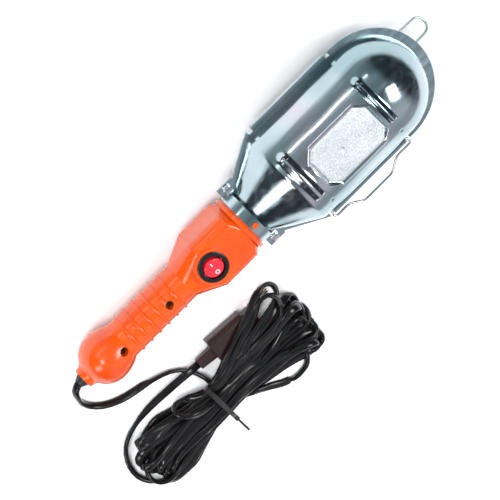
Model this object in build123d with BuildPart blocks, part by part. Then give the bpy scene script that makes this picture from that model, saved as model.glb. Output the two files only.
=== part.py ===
from build123d import *
import math
import os

os.makedirs("parts", exist_ok=True)

# Hand-held inspection lamp: a moulded grip, a pressed steel reflector clamped round its neck,
# a hinged wire guard, a wire latch and hanging loop, and a flat twin cord tied in a hank.
#
# The lamp is drawn in its own frame and laid down at the end. In that frame +X runs from the
# neck flange towards the hanging loop, +Z is the closed back of the reflector, and z = 0 is
# the parting plane of the grip and the rim plane of the reflector. The cord, its hank and the
# plug are drawn straight in the frame of the surface that they lie on, where z = 0 is the floor.

# ---- driving dimensions, mm ----
tilt = 3.9                      # the lamp's slope when it lies on its guard and tail

# grip
tail_x = -158.0
tail_r = 7.8
waist_x = -153.0
waist_r = 8.8
waist_bend = 6.0
knob_x = -136.0
knob_r = 19.8
grip_start_x = -119.0
grip_end_x = -59.0
grip_r = 15.2
grip_wall = 2.4
ridge_first_x = -112.0
ridge_pitch = 8.4
ridge_count = 6
ridge_height = 1.0
ridge_round = 1.6
head_back_x = -38.0
head_front_x = -8.0
head_width = 43.0
head_height = 40.0
head_corner = 9.0
flange_back_x = -3.0
flange_lip = 2.2
neck_wall = 3.2
neck_length = 8.4
tail_bore_r = 5.6

# grip fixings
post_xs = (-123.0, -77.0)
post_r = 4.5
screw_shank_r = 1.3
screw_head_r = 2.9
screw_head_height = 2.0
cross_length = 3.4
cross_width = 0.8
cross_depth = 1.2
screw_seat_z = 9.0
screw_tip_z = -10.0
access_r = 3.25
thread_gap = 0.05
clear_gap = 0.3

# cord clamp inside the knob
clamp_x = -138.0
clamp_width = 6.0
clamp_length = 24.0
clamp_thickness = 2.5
clamp_screw_y = 8.5
clamp_post_r = 3.0
clamp_bay = 9.0

# cord
cord_width = 6.0
cord_thickness = 3.6
tube_d = 4.0
wire_d = 2.4

# switch
switch_x = -36.0
boss_r = 14.0
boss_top_z = 21.0
thumb_rib_radii = (30.5, 27.5, 24.5, 21.5)
thumb_rib_width = 1.1
thumb_rib_height = 0.7
thumb_rib_reach = 9.5
bezel_lip = 1.6
bezel_height = 1.8
switch_body_r = 9.9
switch_body_depth = 17.0
rocker_r = 8.1
rocker_thickness = 5.5
rocker_tilt = 12.0
rocker_gap = 0.4
rocker_z = 20.6
rocker_pin_r = 1.0
rocker_pin_gap = 0.06
spade_width = 4.8
spade_thickness = 0.8
spade_length = 8.0
spade_spacing = 8.0

# lamp holder and bulb, E27
holder_r = 17.5
holder_back_x = -20.0
holder_front_x = 22.0
holder_floor_x = -4.0
fit_gap = 0.1
shell_thread_r = 14.1
shell_thread_wall = 0.6
shell_thread_length = 21.0
contact_height = 1.8
cap_gap = 0.3
cap_length = 24.0
cap_wall = 0.5
cap_tip = 2.0
bulb_r = 27.5
bulb_length = 97.0
bulb_neck_r = 12.5
glass_wall = 0.8

# reflector
sheet = 0.8
collar_start_x = 1.5
collar_end_x = 9.4
collar_gap = 0.2
collar_step = 1.9
cone_end_x = 44.5
dome_x = 131.0
shade_r = 40.0
rim_width = 6.5
rim_start_y = 24.0
rim_cone_end_x = 47.0
pad_depth = 5.0
pad_start_x = 62.0
pad_end_x = 121.0
peg_x = 5.5
peg_r = 2.2
peg_hole_r = 2.5
ear_start_x = 3.0
ear_end_x = 17.0
ear_reach = 9.2
ear_screw_x = 9.6
ear_screw_out = 5.2
ear_hole_r = 2.15
collar_screw_r = 1.9
collar_head_r = 3.25
collar_head_height = 2.2
nut_across_flats = 7.0
nut_height = 3.2
clamp_gap = 0.6

# rolled edges
bar_out = 5.0
bar_r = 2.5
bar_start_x = 51.5
bar_end_x = 123.5
hinge_rod_r = 1.2
running_gap = 0.08
strap_xs = (71.6, 86.3, 99.3)
strap_width = 3.2
strap_slot = 4.4
slot_from = 184
slot_to = 356

# guard
guard_gap = 0.5
guard_start_x = 19.0
arch_length = 6.0
arch_r = 22.2
strip_lap = 1.5
strip_bar_gap = 0.9
strip_hinge_gap = 1.0
guard_wire_d = 2.0
weld = 0.2
hoop_xs = (54.0, 78.0, 102.0, 126.0)
hoop_inset = 1.3
hoop_side_z = -13.0
hoop_flat_y = 19.0
hoop_bend = 14.0
rail_y = 15.0
rail_start_x = 22.0
rail_knee_x = 50.0
rail_corner_out = 38.5
side_rail_short = 14.0
rail_bend = 30.0
rail_end_inset = 4.0
catch_x = 86.0
catch_width = 12.0
catch_foot_z = -10.0
catch_reach = 3.5

# latch bail and hanging loop
bail_wire_d = 2.0
bail_near_y = 5.0
bail_far_y = 11.9
bail_overhang = 1.9
bail_grip = (73.0, 100.0)
bail_shoulder = (63.0, 111.0)
bail_axle = 8.5
loop_reach = 26.0
loop_width = 16.0
eye_gap = 0.3

# plug
plug_turn = 6.0
plug_x = -80.0
plug_y = -65.0
plug_length = 31.0
plug_width = 22.0
plug_height = 13.5
nose_length = 9.0
nose_width = 17.0
nose_height = 11.0
relief_length = 14.0
relief_width = 8.5
relief_height = 6.5
relief_edge = 2.0
pin_r = 2.0
pin_length = 19.0
pin_spacing = 9.3
pin_round = 1.2
pin_room = 3.5

# hank
hank_y = -94.0
tie_x = -103.0
tie_width = 3.6
tie_hole_width = 29.0
tie_hole_height = 25.0
tie_wall = 1.2
tie_tail_width = 1.8
tie_tail_length = 17.0

# ---- sizes that follow from the ones above ----
cavity_start_x = knob_x - clamp_bay
neck_r = holder_r + fit_gap + neck_wall
flange_r = neck_r + flange_lip
bezel_r = switch_body_r + bezel_lip
holder_bore_r = shell_thread_r + fit_gap
cap_r = shell_thread_r - shell_thread_wall - cap_gap
cone_start_r = neck_r - collar_step
rim_r = shade_r + rim_width
pad_z = shade_r - pad_depth
ear_y = neck_r + ear_reach
ear_screw_y = neck_r + ear_screw_out
bar_y = shade_r + bar_out
strip_inner_y = shade_r - strip_lap
strip_outer_y = bar_y - bar_r - strip_bar_gap
strip_clear_y = bar_y - strip_hinge_gap
hoop_y = strip_inner_y + hoop_inset
rail_corner_x = dome_x + rail_corner_out
rail_end_r = rim_r - rail_end_inset
catch_foot_y = -bar_y - catch_reach

# ---- the floor under the lying lamp ----
knob_arc_r = ((knob_x - waist_x) ** 2 + (knob_r - waist_r) ** 2) / (2 * (knob_r - waist_r))
slope = math.tan(math.radians(tilt))
level = math.cos(math.radians(tilt))
floor_z = -(knob_r - knob_arc_r) + knob_x * slope - knob_arc_r / level
lift = -floor_z * level
lay = Location((0, 0, lift), (0, -tilt, 0))


def floor_at(x):
    """Height of the floor in the lamp's own frame, at one station along it."""
    return floor_z - x * slope


def across(x):
    """The plane square to the lamp's axis at one station."""
    return Plane.YZ.offset(x)


def hand_over(piece, name, with_lamp=True):
    """Lay a finished piece down with the lamp if it belongs to it, label it and write it."""
    if with_lamp:
        piece.part = piece.part.moved(lay)
    piece.part.label = name
    export_step(piece.part, f"parts/{name}.step")


def inside_lamp(point):
    """A point of the lamp's frame, in the frame of the floor."""
    return (lay * Location(point)).position


# ---- grip: one outer form and one hollow, split at the parting plane ----
with BuildPart() as grip_form:
    with BuildSketch(Plane.XZ):
        with BuildLine():
            Polyline((grip_end_x, 0), (tail_x, 0), (tail_x, tail_r), (waist_x, waist_r))
            TangentArc((knob_x, knob_r), (waist_x, waist_r), tangent=(-1, 0))
            TangentArc((knob_x, knob_r), (grip_start_x, grip_r), tangent=(1, 0))
            Polyline((grip_start_x, grip_r), (grip_end_x, grip_r), (grip_end_x, 0))
        make_face()
    revolve(axis=Axis.X)
    waist_edge = grip_form.edges().filter_by(GeomType.CIRCLE).sort_by_distance((waist_x, 0, waist_r))[0]
    fillet(waist_edge, waist_bend)
    with BuildSketch(Plane.XZ):
        ridge_r = grip_r + ridge_height - ridge_round
        with Locations(*[(ridge_first_x + i * ridge_pitch, ridge_r) for i in range(ridge_count)]):
            Circle(ridge_round)
    revolve(axis=Axis.X)
    with BuildSketch(across(grip_end_x)):
        RectangleRounded(2 * grip_r, 2 * grip_r, grip_r - 0.05)
    with BuildSketch(across(head_back_x)):
        RectangleRounded(head_width, head_height, head_corner)
    loft()
    with BuildSketch(across(head_back_x)):
        RectangleRounded(head_width, head_height, head_corner)
    extrude(amount=head_front_x - head_back_x)
    with BuildSketch(across(head_front_x)):
        RectangleRounded(head_width, head_height, head_corner)
    with BuildSketch(across(flange_back_x)):
        RectangleRounded(2 * neck_r, 2 * neck_r, neck_r - 0.05)
    loft()
    with BuildSketch(across(flange_back_x)):
        Circle(flange_r)
    extrude(amount=-flange_back_x)
    with BuildSketch(across(0)):
        Circle(neck_r)
    extrude(amount=neck_length)
    with BuildSketch(Plane.XY.offset(grip_r / 2)):
        with Locations((switch_x, 0)):
            Circle(boss_r)
    extrude(amount=boss_top_z - grip_r / 2)
    with BuildSketch(Plane.XY.offset(grip_r)):
        with Locations((switch_x, 0)):
            for rib_r in thumb_rib_radii:
                Circle(rib_r + thumb_rib_width)
                Circle(rib_r, mode=Mode.SUBTRACT)
        with Locations((switch_x + boss_r + thumb_rib_radii[0], 0)):
            Rectangle(2 * thumb_rib_radii[0], 2 * thumb_rib_reach, mode=Mode.INTERSECT)
    extrude(amount=head_height / 2 + thumb_rib_height - grip_r)
    with BuildSketch(Plane.XY.offset(neck_r - 1)):
        with Locations((peg_x, 0)):
            Circle(peg_r)
    extrude(amount=collar_gap + sheet + 1.5)

cavity_r = grip_r - grip_wall
with BuildPart() as grip_hollow:
    with BuildSketch(across(tail_x)):
        Circle(tail_bore_r)
    extrude(amount=cavity_start_x - tail_x)
    with BuildSketch(across(cavity_start_x)):
        Circle(cavity_r)
    extrude(amount=grip_end_x - cavity_start_x)
    with BuildSketch(across(grip_end_x)):
        RectangleRounded(2 * cavity_r, 2 * cavity_r, cavity_r - 0.05)
    with BuildSketch(across(head_back_x)):
        RectangleRounded(head_width - 2 * grip_wall, head_height - 2 * grip_wall,
                         head_corner - grip_wall)
    loft()
    with BuildSketch(across(head_back_x)):
        RectangleRounded(head_width - 2 * grip_wall, head_height - 2 * grip_wall,
                         head_corner - grip_wall)
    extrude(amount=holder_back_x - 2 - head_back_x)
    with BuildSketch(across(holder_back_x - 2)):
        Circle(holder_r + fit_gap)
    extrude(amount=neck_length - holder_back_x + 4)

with BuildPart() as handle_top:
    add(grip_form.part)
    add(grip_hollow.part, mode=Mode.SUBTRACT)
    split(bisect_by=Plane.XY, keep=Keep.TOP)
    with BuildSketch(Plane.XY):
        with Locations(*[(x, 0) for x in post_xs]):
            Circle(post_r)
    extrude(amount=cavity_r + 1)
    with BuildSketch(Plane.XY.offset(screw_seat_z)):
        with Locations(*[(x, 0) for x in post_xs]):
            Circle(access_r)
    extrude(amount=2 * grip_r, mode=Mode.SUBTRACT)
    with BuildSketch(Plane.XY):
        with Locations(*[(x, 0) for x in post_xs]):
            Circle(screw_shank_r + clear_gap)
    extrude(amount=screw_seat_z, mode=Mode.SUBTRACT)
    with BuildSketch(Plane.XY.offset(grip_r / 2)):
        with Locations((switch_x, 0)):
            Circle(switch_body_r + fit_gap)
    extrude(amount=boss_top_z, mode=Mode.SUBTRACT)
hand_over(handle_top, "handle_top")

clamp_rest_z = -cord_thickness / 2 - 0.05
with BuildPart() as handle_bottom:
    add(grip_form.part)
    add(grip_hollow.part, mode=Mode.SUBTRACT)
    split(bisect_by=Plane.XY, keep=Keep.BOTTOM)
    with BuildSketch(Plane.XY):
        with Locations(*[(x, 0) for x in post_xs]):
            Circle(post_r - 1)
    extrude(amount=-(cavity_r + 1))
    with BuildSketch(Plane.XY):
        with Locations(*[(x, 0) for x in post_xs]):
            Circle(screw_shank_r + thread_gap)
    extrude(amount=screw_tip_z - 1, mode=Mode.SUBTRACT)
    with BuildSketch(Plane.XY):
        with Locations((clamp_x, clamp_screw_y), (clamp_x, -clamp_screw_y)):
            Circle(clamp_post_r)
    extrude(amount=-cavity_r + 1.5)
    with BuildSketch(Plane.XY.offset(clamp_rest_z)):
        with Locations((clamp_x, 0)):
            Rectangle(clamp_width, 2 * (clamp_screw_y - clamp_post_r) + 1)
    extrude(amount=-cavity_r + 1)
    with BuildSketch(Plane.XY):
        with Locations((clamp_x, clamp_screw_y), (clamp_x, -clamp_screw_y)):
            Circle(screw_shank_r + thread_gap)
    extrude(amount=screw_tip_z + 2, mode=Mode.SUBTRACT)
hand_over(handle_bottom, "handle_bottom")

with BuildPart() as handle_screws:
    with BuildSketch(Plane.XY.offset(screw_tip_z)):
        with Locations(*[(x, 0) for x in post_xs]):
            Circle(screw_shank_r)
    extrude(amount=screw_seat_z - screw_tip_z)
    with BuildSketch(Plane.XY.offset(screw_seat_z)):
        with Locations(*[(x, 0) for x in post_xs]):
            Circle(screw_head_r)
    extrude(amount=screw_head_height)
    with BuildSketch(Plane.XY.offset(screw_seat_z + screw_head_height)):
        with Locations(*[(x, 0) for x in post_xs]):
            Rectangle(cross_length, cross_width)
            Rectangle(cross_width, cross_length)
    extrude(amount=-cross_depth, mode=Mode.SUBTRACT)
hand_over(handle_screws, "handle_screws")

# ---- where the cord comes in: tapered relief, flat cord, clamp bar and its screws ----
relief_out = 5.0
relief_tip_r = 3.4
relief_in_x = cavity_start_x
with BuildPart() as cord_relief:
    with BuildSketch(Plane.XZ):
        with BuildLine():
            Polyline((relief_in_x, 0), (relief_in_x, tail_bore_r - fit_gap),
                     (tail_x - 0.5, tail_bore_r - fit_gap), (tail_x - relief_out, relief_tip_r),
                     (tail_x - relief_out, 0), close=True)
        make_face()
    revolve(axis=Axis.X)
hand_over(cord_relief, "cord_relief")

inner_cord_end_x = clamp_x + 6.0
with BuildPart() as inner_cord:
    with BuildSketch(across(relief_in_x)):
        RectangleRounded(cord_width, cord_thickness, cord_thickness / 2 - 0.05)
    extrude(amount=inner_cord_end_x - relief_in_x)
hand_over(inner_cord, "inner_cord")

with BuildPart() as cord_clamp:
    with BuildSketch(Plane.XY.offset(cord_thickness / 2 + 0.05)):
        with Locations((clamp_x, 0)):
            RectangleRounded(clamp_width, clamp_length, 2.0)
        with Locations((clamp_x, clamp_screw_y), (clamp_x, -clamp_screw_y)):
            Circle(screw_shank_r + clear_gap, mode=Mode.SUBTRACT)
    extrude(amount=clamp_thickness)
hand_over(cord_clamp, "cord_clamp")

clamp_top_z = cord_thickness / 2 + 0.05 + clamp_thickness
with BuildPart() as clamp_screws:
    with BuildSketch(Plane.XY.offset(screw_tip_z + 3)):
        with Locations((clamp_x, clamp_screw_y), (clamp_x, -clamp_screw_y)):
            Circle(screw_shank_r)
    extrude(amount=clamp_top_z - screw_tip_z - 3)
    with BuildSketch(Plane.XY.offset(clamp_top_z)):
        with Locations((clamp_x, clamp_screw_y), (clamp_x, -clamp_screw_y)):
            Circle(screw_head_r - 0.3)
    extrude(amount=screw_head_height)
hand_over(clamp_screws, "clamp_screws")

# ---- round rocker switch, pressed into the boss on the head ----
bezel_top_z = boss_top_z + bezel_height
body_bottom_z = boss_top_z - switch_body_depth
with BuildPart() as switch_housing:
    with BuildSketch(Plane.XY.offset(boss_top_z)):
        with Locations((switch_x, 0)):
            Circle(bezel_r)
    extrude(amount=bezel_height)
    fillet(switch_housing.edges().group_by(Axis.Z)[-1], bezel_height / 3)
    with BuildSketch(Plane.XY.offset(body_bottom_z)):
        with Locations((switch_x, 0)):
            Circle(switch_body_r)
    extrude(amount=switch_body_depth)
    with BuildSketch(Plane.XY.offset(bezel_top_z)):
        with Locations((switch_x, 0)):
            Circle(rocker_r + rocker_gap)
    extrude(amount=-(rocker_r + bezel_height), mode=Mode.SUBTRACT)
    pin_hole_reach = switch_body_r - 0.4
    with BuildSketch(across(switch_x - pin_hole_reach)):
        with Locations((0, rocker_z)):
            Circle(rocker_pin_r + rocker_pin_gap)
    extrude(amount=2 * pin_hole_reach, mode=Mode.SUBTRACT)
hand_over(switch_housing, "switch_housing")

rocker_plane = Plane(Location((switch_x, 0, rocker_z), (rocker_tilt, 0, 0)))
with BuildPart() as rocker:
    with BuildSketch(rocker_plane.offset(-rocker_thickness / 2)):
        Circle(math.sqrt(rocker_r ** 2 - (rocker_thickness / 2) ** 2))
    extrude(amount=rocker_thickness)
    fillet(rocker.edges(), rocker_thickness / 5)
    with BuildSketch(across(switch_x - pin_hole_reach + clear_gap)):
        with Locations((0, rocker_z)):
            Circle(rocker_pin_r)
    extrude(amount=2 * (pin_hole_reach - clear_gap))
hand_over(rocker, "rocker")

with BuildPart() as switch_spades:
    with BuildSketch(Plane.XY.offset(body_bottom_z)):
        with Locations((switch_x - spade_spacing / 2, 0), (switch_x + spade_spacing / 2, 0)):
            Rectangle(spade_thickness, spade_width)
    extrude(amount=-spade_length)
hand_over(switch_spades, "switch_spades")


def wire_along(points, bends, diameter):
    """One round wire along straight runs joined by tangent arcs."""
    with BuildPart() as wire:
        with BuildLine() as route:
            FilletPolyline(*points, radius=bends)
        start = Plane(origin=route.line @ 0, z_dir=route.line % 0)
        with BuildSketch(start):
            Circle(diameter / 2)
        sweep(path=route.line)
    return wire


side_y = post_r + wire_d / 2 + 1.1
spade_z = body_bottom_z - spade_length * 0.7
first_spade_x = switch_x - spade_spacing / 2 - spade_thickness / 2
last_spade_x = switch_x + spade_spacing / 2 + spade_thickness / 2
live_wire = wire_along(
    [(inner_cord_end_x, 1.6, 0), (inner_cord_end_x + 6, side_y, 0), (grip_end_x, side_y, 0),
     (first_spade_x - 8, 0, spade_z), (first_spade_x, 0, spade_z)], 3.0, wire_d)
hand_over(live_wire, "live_wire")

neutral_wire = wire_along(
    [(inner_cord_end_x, -1.6, 0), (inner_cord_end_x + 6, -side_y, 0), (grip_end_x, -side_y, 0),
     (switch_x - 8, -side_y - 2, -9), (holder_back_x, -side_y - 2, -9)], 3.0, wire_d)
hand_over(neutral_wire, "neutral_wire")

switched_wire = wire_along(
    [(last_spade_x, 0, spade_z), (last_spade_x + 5, 0, spade_z),
     (holder_back_x, 5, spade_z - 3)], 2.0, wire_d)
hand_over(switched_wire, "switched_wire")

# ---- lamp holder: moulded cup, threaded shell, centre contact ----
with BuildPart() as lamp_holder:
    with BuildSketch(across(holder_back_x)):
        Circle(holder_r)
    extrude(amount=holder_front_x - holder_back_x)
    fillet(lamp_holder.edges().group_by(Axis.X)[-1], 1.0)
    with BuildSketch(across(holder_floor_x)):
        Circle(holder_bore_r)
    extrude(amount=holder_front_x - holder_floor_x + 1, mode=Mode.SUBTRACT)
hand_over(lamp_holder, "lamp_holder")

with BuildPart() as threaded_shell:
    with BuildSketch(across(holder_floor_x)):
        Circle(shell_thread_r)
        Circle(shell_thread_r - shell_thread_wall, mode=Mode.SUBTRACT)
    extrude(amount=shell_thread_length)
hand_over(threaded_shell, "threaded_shell")

with BuildPart() as centre_contact:
    with BuildSketch(across(holder_floor_x)):
        Rectangle(16, 6)
    extrude(amount=0.6)
    with BuildSketch(across(holder_floor_x)):
        Circle(3)
    extrude(amount=contact_height)
hand_over(centre_contact, "centre_contact")

# ---- bulb: cap, blown glass, stem with filament ----
cap_tip_x = holder_floor_x + contact_height
cap_x = cap_tip_x + cap_tip
with BuildPart() as bulb_cap:
    with BuildSketch(across(cap_tip_x)):
        Circle(4.5)
    extrude(amount=cap_tip)
    with BuildSketch(across(cap_x)):
        Circle(cap_r)
    extrude(amount=cap_length)
    chamfer(bulb_cap.edges().filter_by(GeomType.CIRCLE).group_by(SortBy.RADIUS)[-1].sort_by(Axis.X)[0],
            3.5)
    with BuildSketch(across(cap_x + 5)):
        Circle(cap_r - cap_wall)
    extrude(amount=cap_length, mode=Mode.SUBTRACT)
hand_over(bulb_cap, "bulb_cap")

globe_x = cap_tip_x + bulb_length - bulb_r
neck_end_x = cap_x + cap_length + 2


def bulb_form(inset):
    """The blown bulb's body of revolution, with its wall moved in by inset."""
    meet = math.radians(50)
    radius = bulb_r - inset
    with BuildPart() as form:
        with BuildSketch(Plane.XZ):
            with BuildLine():
                Polyline((globe_x + radius, 0), (cap_x + 6 - inset, 0),
                         (cap_x + 6 - inset, bulb_neck_r - inset),
                         (neck_end_x, bulb_neck_r - inset))
                joint = (globe_x - radius * math.sin(meet), radius * math.cos(meet))
                TangentArc((neck_end_x, bulb_neck_r - inset), joint, tangent=(1, 0))
                ThreePointArc(joint, (globe_x, radius), (globe_x + radius, 0))
            make_face()
        revolve(axis=Axis.X)
    return form.part


with BuildPart() as bulb_glass:
    add(bulb_form(0))
    add(bulb_form(glass_wall), mode=Mode.SUBTRACT)
hand_over(bulb_glass, "bulb_glass")

stem_x = cap_x + 7
stem_end_x = neck_end_x + 16
with BuildPart() as filament_mount:
    with BuildSketch(across(stem_x)):
        Circle(9.0)
    extrude(amount=1.0)
    with BuildSketch(across(stem_x)):
        Circle(3.0)
    extrude(amount=stem_end_x - stem_x)
    with BuildSketch(across(stem_end_x - 2)):
        with Locations((0, 0), (2.2, 0), (-2.2, 0)):
            Circle(0.4)
    extrude(amount=globe_x - stem_end_x)
    with BuildSketch(Plane.XZ.offset(-3)):
        with Locations((globe_x - 2.5, 0)):
            Circle(0.6)
    extrude(amount=6)
hand_over(filament_mount, "filament_mount")


# ---- reflector: one pressed sheet ----
def shade_form(inset):
    """The half shade as a filled form, with its sheet surface moved in by inset."""
    radius = shade_r - inset
    collar_r = neck_r + collar_gap + sheet - inset
    start_r = cone_start_r - inset
    step_x = collar_end_x - inset
    with BuildPart() as form:
        with BuildSketch(Plane.XY):
            with BuildLine():
                Polyline((dome_x + radius, 0), (collar_start_x, 0), (collar_start_x, collar_r),
                         (step_x, collar_r), (step_x, start_r), (cone_end_x, radius),
                         (dome_x, radius))
                RadiusArc((dome_x, radius), (dome_x + radius, 0), radius)
            make_face()
        revolve(axis=Axis.X, revolution_arc=180)
        with BuildSketch(Plane.XY.offset(pad_z - inset)):
            with Locations(((pad_start_x + pad_end_x) / 2, 0)):
                Rectangle(pad_end_x - pad_start_x - 2 * inset, 2 * shade_r)
        extrude(amount=shade_r, mode=Mode.SUBTRACT)
    return form.part


def rim_half(start, start_y, knee, side_y, end_r):
    """One half of a rim outline: cone edge, side and a quarter round the dome."""
    Polyline((start, 0), (start, start_y), (knee, side_y), (dome_x, side_y))
    RadiusArc((dome_x, side_y), (dome_x + end_r, 0), end_r)


def rim_sketch(start, start_y, knee, side_y, end_r, mode=Mode.ADD):
    """A rim outline closed across the lamp's middle and mirrored to both sides."""
    with BuildSketch(mode=Mode.PRIVATE) as outline:
        with BuildLine():
            rim_half(start, start_y, knee, side_y, end_r)
            Line((dome_x + end_r, 0), (start, 0))
        make_face()
        mirror(about=Plane.XZ)
    add(outline.sketch, mode=mode)


def slot_cutter(x):
    """Sector that opens the rolled edge for one hinge strap."""
    reach = bar_r + 1.5
    turns = [math.radians(slot_from + i * (slot_to - slot_from) / 6) for i in range(7)]
    with BuildPart() as cutter:
        with BuildSketch(across(x - strap_slot / 2)):
            with BuildLine():
                Polyline((bar_y, 0),
                         *[(bar_y + reach * math.cos(a), reach * math.sin(a)) for a in turns],
                         close=True)
            make_face()
        extrude(amount=strap_slot)
    return cutter.part


bail_bore_r = bail_wire_d / 2 + running_gap
rim_cut_y = bar_y - bar_r + 0.7
bar_notch = bail_overhang + bail_wire_d / 2 + clear_gap + 0.3
with BuildPart() as reflector:
    add(shade_form(0))
    add(shade_form(sheet), mode=Mode.SUBTRACT)
    with BuildSketch(Plane.XY):
        rim_sketch(collar_end_x, rim_start_y, rim_cone_end_x, rim_r, rim_r)
        rim_sketch(collar_end_x - 1, cone_start_r - 1, cone_end_x, shade_r - sheet / 2,
                   shade_r - sheet / 2, mode=Mode.SUBTRACT)
        with Locations(((ear_start_x + ear_end_x) / 2, (neck_r + 0.5 + ear_y) / 2),
                       ((ear_start_x + ear_end_x) / 2, -(neck_r + 0.5 + ear_y) / 2)):
            Rectangle(ear_end_x - ear_start_x, ear_y - neck_r - 0.5)
        with Locations(((bar_start_x + bar_end_x) / 2, rim_cut_y + 5),
                       ((bar_start_x + bar_end_x) / 2, -rim_cut_y - 5)):
            Rectangle(bar_end_x - bar_start_x + 2 * bar_notch, 10, mode=Mode.SUBTRACT)
        with Locations((ear_screw_x, ear_screw_y), (ear_screw_x, -ear_screw_y)):
            Circle(ear_hole_r, mode=Mode.SUBTRACT)
    extrude(amount=sheet)
    with BuildSketch(across(bar_start_x)):
        with Locations((bar_y, 0)):
            Circle(bar_r)
            Circle(hinge_rod_r + running_gap, mode=Mode.SUBTRACT)
        with Locations((-bar_y, 0)):
            Circle(bar_r)
            Circle(bail_bore_r, mode=Mode.SUBTRACT)
    extrude(amount=bar_end_x - bar_start_x)
    for strap_x in strap_xs:
        add(slot_cutter(strap_x), mode=Mode.SUBTRACT)
    with BuildSketch(Plane.XY.offset(neck_r - 1)):
        with Locations((peg_x, 0)):
            Circle(peg_hole_r)
    extrude(amount=5, mode=Mode.SUBTRACT)
hand_over(reflector, "reflector")

# ---- lower half of the neck clamp, its screws and nuts ----
clamp_top = -clamp_gap
with BuildPart() as neck_clamp:
    with BuildSketch(across(collar_start_x)):
        Circle(neck_r + collar_gap + sheet)
        Circle(neck_r + collar_gap, mode=Mode.SUBTRACT)
        with Locations((0, shade_r - clamp_gap)):
            Rectangle(2 * shade_r, 2 * shade_r, mode=Mode.SUBTRACT)
    extrude(amount=collar_end_x - collar_start_x)
    with BuildSketch(Plane.XY.offset(clamp_top)):
        with Locations(((ear_start_x + ear_end_x) / 2, (neck_r + 0.5 + ear_y) / 2),
                       ((ear_start_x + ear_end_x) / 2, -(neck_r + 0.5 + ear_y) / 2)):
            Rectangle(ear_end_x - ear_start_x, ear_y - neck_r - 0.5)
        with Locations((ear_screw_x, ear_screw_y), (ear_screw_x, -ear_screw_y)):
            Circle(ear_hole_r, mode=Mode.SUBTRACT)
    extrude(amount=-sheet)
hand_over(neck_clamp, "neck_clamp")

ear_spots = ((ear_screw_x, ear_screw_y), (ear_screw_x, -ear_screw_y))
nut_top = clamp_top - sheet
with BuildPart() as clamp_bolts:
    with BuildSketch(Plane.XY.offset(sheet)):
        with Locations(*ear_spots):
            Circle(collar_head_r)
    extrude(amount=collar_head_height)
    fillet(clamp_bolts.edges().group_by(Axis.Z)[-1], 0.8)
    with BuildSketch(Plane.XY.offset(sheet)):
        with Locations(*ear_spots):
            Circle(collar_screw_r)
    extrude(amount=nut_top - nut_height - 1.5 - sheet)
    with BuildSketch(Plane.XY.offset(sheet + collar_head_height)):
        with Locations(*ear_spots):
            Rectangle(2 * collar_head_r, 0.9)
    extrude(amount=-1.0, mode=Mode.SUBTRACT)
hand_over(clamp_bolts, "clamp_bolts")

with BuildPart() as clamp_nuts:
    with BuildSketch(Plane.XY.offset(nut_top)):
        with Locations(*ear_spots):
            RegularPolygon(nut_across_flats / 2, 6, major_radius=False)
            Circle(collar_screw_r + thread_gap, mode=Mode.SUBTRACT)
    extrude(amount=-nut_height)
hand_over(clamp_nuts, "clamp_nuts")

# ---- guard: rim strip with hinge straps, hoops, rails, catch, hinge rod ----
strip_bottom = -guard_gap - sheet
with BuildPart() as guard_frame:
    with BuildSketch(Plane.XY.offset(strip_bottom)):
        strip_start_y = rim_start_y + (rim_r - rim_start_y) * (guard_start_x - collar_end_x) / (
            rim_cone_end_x - collar_end_x)
        rim_sketch(guard_start_x, strip_start_y, rim_cone_end_x, rim_r, rim_r)
        rim_sketch(guard_start_x - 1, arch_r - 0.6, rim_cone_end_x, strip_inner_y,
                   strip_inner_y, mode=Mode.SUBTRACT)
        with Locations(((bar_start_x + bar_end_x) / 2, strip_outer_y + 5),
                       ((bar_start_x + bar_end_x) / 2, -strip_outer_y - 5)):
            Rectangle(bar_end_x - bar_start_x + 7, 10, mode=Mode.SUBTRACT)
        with Locations((dome_x / 2, strip_clear_y + 5)):
            Rectangle(2 * dome_x, 10, mode=Mode.SUBTRACT)
        strap_reach = bar_y - 0.8 - strip_inner_y - 1
        with Locations(*[(x, strip_inner_y + 1 + strap_reach / 2) for x in strap_xs]):
            Rectangle(strap_width, strap_reach)
    extrude(amount=sheet)
    with BuildSketch(across(guard_start_x)):
        Circle(arch_r + sheet)
        Circle(arch_r, mode=Mode.SUBTRACT)
        with Locations((0, shade_r - guard_gap)):
            Rectangle(2 * shade_r, 2 * shade_r, mode=Mode.SUBTRACT)
    extrude(amount=arch_length)
hand_over(guard_frame, "guard_frame")

with BuildPart() as hinge_rod:
    with BuildSketch(across(bar_start_x + 0.5)):
        with Locations((bar_y, 0)):
            Circle(hinge_rod_r)
    extrude(amount=bar_end_x - bar_start_x - 1)
hand_over(hinge_rod, "hinge_rod")

wire_top_z = strip_bottom + sheet / 2


def rail_z(x):
    """Centre of a lower rail, whose underside lies on the floor."""
    return floor_at(x) + guard_wire_d / 2 / level


def hoop_z(x):
    """Centre of a hoop's flat bottom, welded on top of the rails."""
    return rail_z(x) + guard_wire_d - weld


def hoop(x):
    """One cross wire of the guard, from rim strip to rim strip."""
    return wire_along(
        [(x, hoop_y, wire_top_z), (x, hoop_y, hoop_side_z), (x, hoop_flat_y, hoop_z(x)),
         (x, -hoop_flat_y, hoop_z(x)), (x, -hoop_y, hoop_side_z), (x, -hoop_y, wire_top_z)],
        hoop_bend, guard_wire_d)


with BuildPart() as guard_hoops:
    for hoop_x in hoop_xs:
        add(hoop(hoop_x).part)
hand_over(guard_hoops, "guard_hoops")


def lower_rail(side):
    """One of the two rails that the guard lies on."""
    end_x = dome_x + math.sqrt(rail_end_r ** 2 - rail_y ** 2)
    start_z = -math.sqrt((arch_r + sheet / 2) ** 2 - rail_y ** 2)
    return wire_along(
        [(rail_start_x, side * rail_y, start_z), (rail_knee_x, side * rail_y, rail_z(rail_knee_x)),
         (rail_corner_x, side * rail_y, rail_z(rail_corner_x)),
         (end_x, side * rail_y, wire_top_z)],
        rail_bend, guard_wire_d)


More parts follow.
